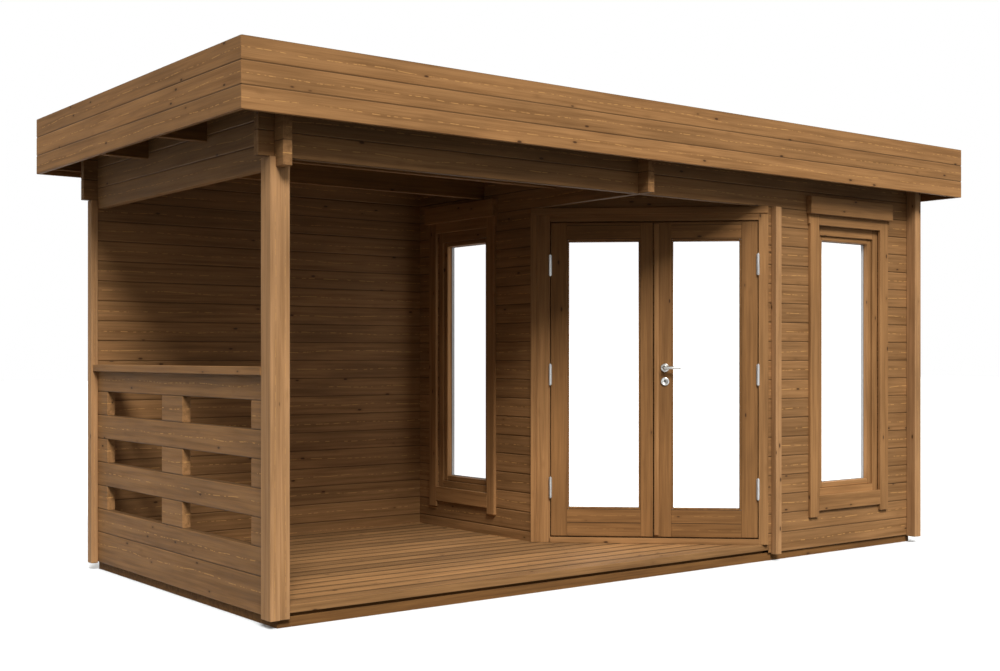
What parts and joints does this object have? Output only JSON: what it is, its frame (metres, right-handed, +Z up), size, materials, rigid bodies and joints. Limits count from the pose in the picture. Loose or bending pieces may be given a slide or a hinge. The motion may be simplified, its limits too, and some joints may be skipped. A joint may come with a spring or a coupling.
{
  "type": "wooden garden shed",
  "caption": "Flat-roofed log garden shed: a closed room with a glazed corner door and tall windows, and a roofed terrace with a gapped plank railing beside it.",
  "frame": {"origin": "on the ground, under the middle of the roof", "axes": "+X along the front from the terrace to the closed room, +Y from the front to the back, +Z up"},
  "size_m": [5.035, 2.71, 2.5695],
  "materials": {
    "log_wood": "satin",
    "trim_wood": "satin",
    "deck_wood": "matte",
    "joinery_wood": "satin",
    "frame_wood": "matte",
    "window_glass": "gloss",
    "hinge_steel": "satin",
    "handle_steel": "satin",
    "roof_felt": "matte"
  },
  "bodies": {
    "shed": {"base_frame": "frame_wood", "terrace_deck": "deck_wood", "room_floor": "deck_wood", "corner_post_left": "trim_wood", "corner_post_right": "trim_wood", "post_back_left": "trim_wood", "post_back_right": "trim_wood", "post_front_right": "trim_wood", "post_beside_door": "trim_wood", "back_wall": "log_wood", "back_beam": "log_wood", "right_wall": "log_wood", "front_wall": "log_wood", "partition_wall": "log_wood", "front_beam": "log_wood", "side_beam": "log_wood", "cross_beam": "log_wood", "door_wall_top": "log_wood", "railing_panel": "log_wood", "handrail": "trim_wood", "roof_joists": "frame_wood", "roof_boards": "frame_wood", "roof_covering": "roof_felt", "fascia_front": "trim_wood", "fascia_back": "trim_wood", "fascia_left": "trim_wood", "fascia_right": "trim_wood", "front_window_trim": "trim_wood", "front_window_sash": "joinery_wood", "front_window_glass": "window_glass", "side_window_trim": "trim_wood", "side_window_sash": "joinery_wood", "side_window_glass": "window_glass", "door_frame": "joinery_wood", "door_threshold": "deck_wood", "frame_hinges": "hinge_steel"},
    "left_door": {"left_leaf": "joinery_wood", "left_leaf_glass": "window_glass", "left_leaf_hinges": "hinge_steel"},
    "right_door": {"right_leaf": "joinery_wood", "right_leaf_glass": "window_glass", "right_leaf_hinges": "hinge_steel", "astragal": "trim_wood", "lock_plates": "handle_steel"},
    "door_lever": {"lever_handle": "handle_steel"}
  },
  "joints": [
    {"name": "left_door_hinge", "type": "hinge", "parent": "shed", "child": "left_door", "pos_m": [-0.06305, -0.28001, 1.074], "axis": [0, 0, -1], "range_deg": [0, 110]},
    {"name": "right_door_hinge", "type": "hinge", "parent": "shed", "child": "right_door", "pos_m": [0.81023, -1.15329, 1.074], "axis": [0, 0, 1], "range_deg": [0, 110]},
    {"name": "door_lever_hinge", "type": "hinge", "parent": "right_door", "child": "door_lever", "pos_m": [0.4443, -0.74211, 1.144], "axis": [0.7071, 0.7071, 0], "range_deg": [0, 40], "stiffness_Nm_per_rad": 0.6}
  ]
}
